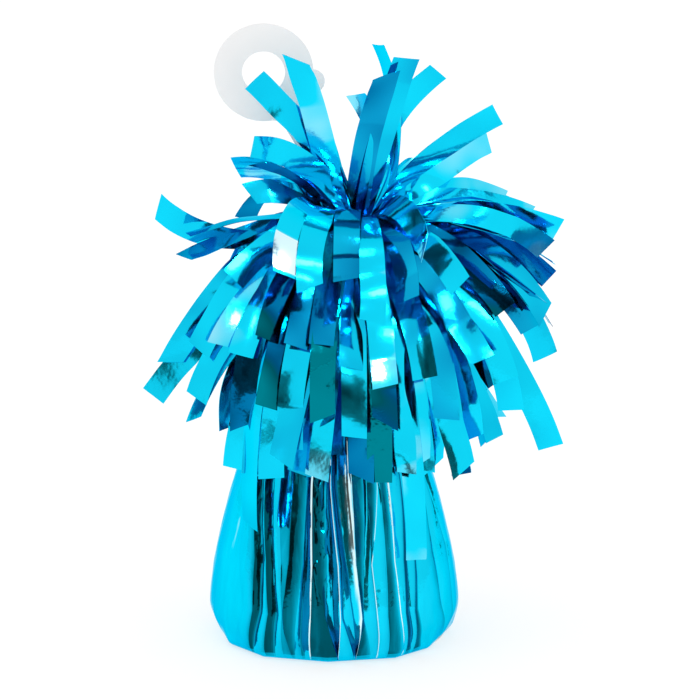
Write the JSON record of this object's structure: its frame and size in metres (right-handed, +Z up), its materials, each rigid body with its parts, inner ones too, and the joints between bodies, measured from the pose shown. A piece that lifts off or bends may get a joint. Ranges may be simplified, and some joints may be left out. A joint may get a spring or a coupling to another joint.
{
  "type": "balloon weight",
  "caption": "Foil-wrapped balloon weight: a filled tub in gathered metallic foil with a drooping fringe, and a hang tab with a hole for the balloon ribbon.",
  "frame": {"origin": "middle of the flat foot, on the surface that it stands on", "axes": "+Z up along the weight, -Y towards the camera, +X to the right in the picture; the hang tab's face is square to Y"},
  "size_m": [0.0956, 0.095, 0.1517],
  "materials": {
    "tub_plastic": "plain moulded polystyrene",
    "cement": "cast sand and cement",
    "foil": "metallised polyester film, mirror bright, turquoise",
    "tie_band": "plain elastic band",
    "tab_plastic": "translucent polypropylene sheet"
  },
  "bodies": {
    "weight": {"base_cap": "tub_plastic", "tub": "tub_plastic", "ballast": "cement", "foil_wrapper": "foil", "fringe_tuft": "foil", "fringe_crown": "foil", "fringe_upper": "foil", "fringe_middle": "foil", "fringe_lower": "foil", "fringe_wrap": "foil", "neck_tie": "tie_band", "tab_tail": "tab_plastic"},
    "tab": {"hang_tab": "tab_plastic"}
  },
  "joints": [
    {"name": "hang_tab_flex", "type": "hinge", "parent": "weight", "child": "tab", "pos_m": [0.004, 0, 0.1044], "axis": [0.8607, 0, 0.509], "range_deg": [-27, 8], "stiffness_Nm_per_rad": 0.009}
  ]
}
